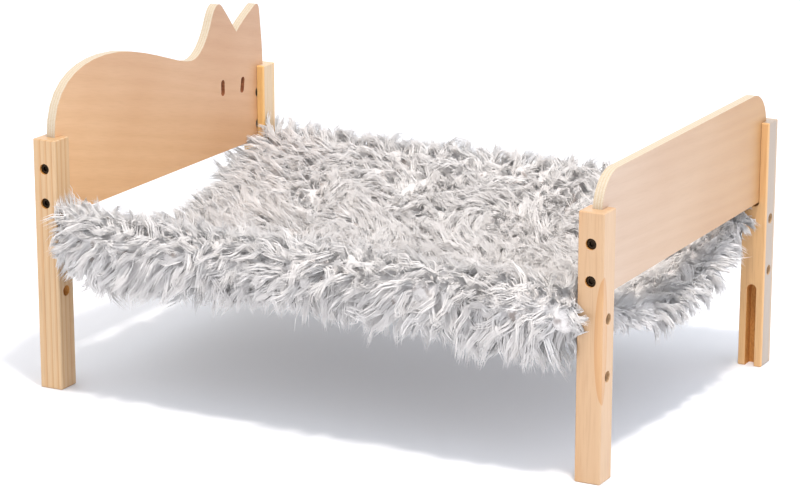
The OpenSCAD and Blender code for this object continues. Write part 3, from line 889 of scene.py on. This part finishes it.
def locks(side, draw):
    """Root shares, pocket marks, centre lines, tones and outward ways of every strand of one half's fur."""
    share, place, walk_place, edge, edge_end, edge_row = lock_roots(draw)
    root, normal, slope = on_cloth(side, share, place)
    count = len(share)
    down = np.array([0.0, 0.0, -1.0])
    across = np.broadcast_to(np.array([1.0, 0.0, 0.0]), root.shape)

    # The locks along the free ends tip over the edge, each row further than the last.
    tip_over = np.zeros(count)
    tip_over[edge] = edge_end * np.radians(
        draw.uniform([35, 60, 80], [65, 90, 112], (len(edge_end) // 3, 3)).ravel()
        - np.where((edge_end > 0) & (edge_row < 2), 18, 0)
    )
    tip_cos, tip_sin = np.cos(tip_over)[:, None], np.sin(tip_over)[:, None]
    normal, across = tip_cos * normal + tip_sin * across, tip_cos * across - tip_sin * normal

    # A lock leans as it was combed, a little its own way, down the slope, and outwards near a free end.
    on_pocket = place < pocket_to
    facing_up, facing_out = np.clip(normal[:, 2], 0, 1), np.clip(1 - normal[:, 2], 0, 1)
    fall = down - (normal @ down)[:, None] * normal
    combed, strayed = np.where(on_pocket, 0.8, 1.1), np.where(on_pocket, 0.75, 0.45)
    flow_x, flow_s = [
        combed * ripple(root[:, 0], walk_place, seed + side, 0.085) + strayed * draw.normal(0, 1, count)
        for seed in (11, 21)
    ]
    left_end = np.clip(-share, 0, 1) * np.where(on_pocket, facing_out, 1)
    flow_x -= 0.5 + 0.7 * left_end - np.where(on_pocket, 0, np.interp(share, [0.45, 1], [0, 0.6]))
    near_end = np.where(edge, 0, np.exp(-(half_length - np.abs(root[:, 0])) / 0.022))
    inner_side = on_pocket & (normal[:, 1] * side < 0.2)
    spill = np.where(on_pocket, np.where(share > 0, np.where(inner_side, 0.8, 0.4), 0.15), 0.8)
    spill *= near_end * np.sign(root[:, 0])
    sway = (0.42 * (1 - 0.6 * near_end))[:, None]
    lean = sway * (flow_x[:, None] * across + flow_s[:, None] * slope)
    lean += sway * fall + spill[:, None] * across
    lean[:, 1] += 0.3 * side * on_pocket * facing_up * (1 - near_end)

    # At one end of each pocket, a tuft at the rail's height sticks out sideways past the post.
    at_rail = np.abs(root[:, 2] - 0.150) < 0.007
    tuft = on_pocket & (share * -side > 0.945) & at_rail & (normal[:, 1] * side > 0.5)
    lean[tuft] = (-1.1 * side, 0.0, 0.1)
    most_lean = 1.15
    lean *= np.minimum(1, most_lean / np.maximum(np.linalg.norm(lean, axis=1), 1e-6))[:, None]

    # Hair is shorter by the seam and at the pockets' ends, and the free ends vary from front to back.
    length = np.where(on_pocket, pocket_hair, sling_hair) * draw.uniform(0.84, 1.14, count)
    length *= np.interp(place, [fur_from, flap_length + 0.004], [0.65, 1.0])
    length *= 1 + near_end * np.where(on_pocket, -0.1 - 0.35 * facing_out * (share < 0), 0.12)
    length *= np.where(on_pocket, 1, np.interp(share, [0.7, 1], [1, 0.84]))
    length[edge] *= np.where(
        share[edge] > 0,
        np.interp(root[edge, 1], [-0.15, -0.09, -0.03, 0.05, 0.1, 0.14], [0.6, 0.9, 0.9, 1.3, 1.3, 1.1]),
        np.interp(root[edge, 1], [-0.15, -0.09, 0.07, 0.12], [0.5, 0.85, 0.85, 1.25]),
    )
    raised = np.where(on_pocket, 0.12 + 0.4 * near_end * (normal[:, 2] > 0.75), 0.10)
    upright = 0.82 + facing_up * raised
    upright[tuft] *= 0.55
    hang = np.interp(
        share,
        [-1, -0.93, -0.84, -0.55, -0.25, 0.1, 0.45, 0.7, 0.94, 1],
        [0.0, 0.004, 0.014, 0.008, 0, 0, 0.006, 0.013, 0.015, 0.002],
    )
    hang *= on_pocket * ~tuft * np.clip((0.6 - normal[:, 2]) / 0.6, 0, 1)

    # Each lock curls round its own axis and has its own tone, paler on the sling, and paler still at the
    # sling's right end as painted light in the footboard's shadow.
    axis = unit(0.6 * normal + lean)
    curl_way = unit(np.cross(axis, unit(draw.normal(0, 1, (count, 3)))))
    curl_side = np.cross(axis, curl_way)
    curl_size = length * draw.uniform(0.08, 0.18, count) * np.where(edge, 0.6, np.where(on_pocket, 1.3, 0.9))
    curl_start = draw.uniform(0, 2 * math.pi, count)
    curl_turns = draw.uniform(0.45, 1.0, count) * draw.choice([-1, 1], count)
    tone = 0.06 + 0.15 * ripple(root[:, 0], walk_place, 31 + side, 0.045) + draw.normal(0, 0.11, count)
    # Painted light: the sling's fur is made paler towards its right end, which lies in the footboard's
    # shadow.
    right_end_painted_light = np.clip((root[:, 0] - 0.19) / 0.06, 0, 1)
    tone = np.clip(tone - np.where(on_pocket, 0, 0.08) - 0.5 * right_end_painted_light * ~on_pocket, 0, 1)

    # The strands of a lock start round its root and gather towards its tip, and a few stray.
    each = np.repeat(np.arange(count), strands_per_lock)
    total = len(each)
    spread = lock_radius * np.sqrt(draw.uniform(0, 1, total))
    spin = draw.uniform(0, 2 * math.pi, total)
    offset = (spread * np.cos(spin))[:, None] * across[each] + (spread * np.sin(spin))[:, None] * slope[each]
    stray = draw.uniform(0, 1, total) < stray_share
    size = length[each] * draw.uniform(0.78, 1.06, total) * np.where(stray, 0.85, 1)
    own_lean = lean[each] + np.where(stray, 0.25, 0.06)[:, None] * draw.normal(0, 1, (total, 3))
    gather = np.where(stray, 0.2, 0.62)
    t = strand_steps[None, :, None]
    rise = (upright[each][:, None, None] * t - 0.2 * t ** 2) * normal[each][:, None]
    sweep = (0.2 * t + 0.5 * t ** 2) * own_lean[:, None]
    droop = 0.12 * t ** 2 * down
    line = root[each][:, None] + size[:, None, None] * (rise + sweep + droop)
    line += hang[each][:, None, None] * t * down
    line += offset[:, None] * (1 - gather[:, None, None] * t ** 1.2)
    turn = 2 * math.pi * curl_turns[each][:, None] * strand_steps[None] + curl_start[each][:, None]
    swing = curl_size[each][:, None] * strand_steps[None] ** 0.9
    line += (swing * np.cos(turn))[..., None] * curl_way[each][:, None]
    line += (swing * np.sin(turn))[..., None] * curl_side[each][:, None]
    frizz = draw.normal(0, 0.0004, (total, len(strand_steps), 3))
    line += frizz * strand_steps[None, :, None]
    line = clear_of_wood(np.clip(line, -fur_reach, fur_reach), np.abs(root[each, 1]) > post_y + 0.004)
    strand_tone = np.clip(tone[each] + draw.normal(0, 0.02, total), 0, 1)
    return share[each], on_pocket[each], line, strand_tone, normal[each]


def strands_piece(name, line, strand_tone, outward, draw):
    """Tapered three-sided strands round their centre lines, as one mesh with tone, along and a bake map."""
    total, levels = len(line), len(strand_steps) - 1
    heading = unit(np.gradient(line, axis=1))
    aside = unit(np.cross(heading, unit(draw.normal(0, 1, (total, 1, 3)))))
    other = np.cross(heading, aside)
    thick = strand_radius * draw.uniform(0.75, 1.25, total)
    girth = thick[:, None, None] * strand_waist[None, :, None]
    corners = np.empty((total, 3 * levels + 1, 3))
    for k in range(3):
        turn = 2 * math.pi * k / 3
        ring = math.cos(turn) * aside[:, :levels] + math.sin(turn) * other[:, :levels]
        corners[:, k:3 * levels:3] = line[:, :levels] + girth * ring
    corners[:, -1] = line[:, -1]
    shading = np.repeat(outward[:, None], 3 * levels + 1, axis=1)
    from_line = corners[:, :-1] - np.repeat(line[:, :levels], 3, axis=1)
    roundness, lift = 0.08, np.array([0.0, 0.0, 0.35])
    shading[:, :-1] += roundness * from_line / np.repeat(girth, 3, axis=1)
    shading = unit(shading + lift)
    quads, tips = [], []
    for level in range(levels - 1):
        for k in range(3):
            a, b = 3 * level + k, 3 * level + (k + 1) % 3
            quads.append([a, b, b + 3, a + 3])
    for k in range(3):
        tips.append([3 * (levels - 1) + k, 3 * (levels - 1) + (k + 1) % 3, 3 * levels])
    tips.append([2, 1, 0])
    start = np.arange(total)[:, None, None] * (3 * levels + 1)
    quads = (start + np.array(quads)).reshape(-1, 4).tolist()
    tips = (start + np.array(tips)).reshape(-1, 3).tolist()
    mesh = bpy.data.meshes.new(name)
    mesh.from_pydata(corners.reshape(-1, 3).tolist(), [], quads + tips)
    step = np.concatenate([np.repeat(strand_steps[:levels], 3), [1.0]])
    along_values = np.tile(step, total)
    tone_values = np.repeat(strand_tone, 3 * levels + 1)
    for attribute, values in (("along", along_values), ("tone", tone_values)):
        mesh.attributes.new(attribute, "FLOAT", "POINT").data.foreach_set("value", values.astype(np.float32))
    sides = np.concatenate([np.tile([-0.02, 0.0, 0.02], levels), [0.0]])
    bake = np.stack([0.03 + 0.94 * tone_values + np.tile(sides, total), 0.02 + 0.96 * along_values], 1)
    set_uv(mesh, "OFBake", bake)
    mesh.shade_smooth()
    mesh.normals_split_custom_set_from_vertices(shading.reshape(-1, 3).tolist())
    mesh.materials.append(plush)
    piece = placed(name, mesh)
    return piece


blend_from = 0.1895
pocket_parts, sling_parts = ("left", "right"), ("left", "middle", "right")
for side, name in ((-1, "front"), (1, "back")):
    draw = np.random.default_rng(70 + side)
    share, on_pocket, line, strand_tone, outward = locks(side, draw)
    start, end = (0, side * blend_from, 0), (0, 0, 0)
    bed = undercoat_piece(side, name + "_undercoat")
    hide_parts(name + "_pocket_plush", "sling_plush")
    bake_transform(bed)
    for parts, chosen, label in ((pocket_parts, on_pocket, "pocket"), (sling_parts, ~on_pocket, "sling")):
        part_of = np.clip(((share + 1) / 2 * len(parts)).astype(int), 0, len(parts) - 1)
        for i, part in enumerate(parts):
            pick = chosen & (part_of == i)
            piece = strands_piece(
                f"{name}_{label}_plush_{part}", line[pick], strand_tone[pick], outward[pick], draw,
            )
            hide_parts(name + "_pocket_plush" if label == "pocket" else "sling_plush")
            if label == "pocket":
                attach(piece, "frame")
            else:
                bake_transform(piece)
    for piece in (cloth[side], *sewn[side]):
        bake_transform(piece)
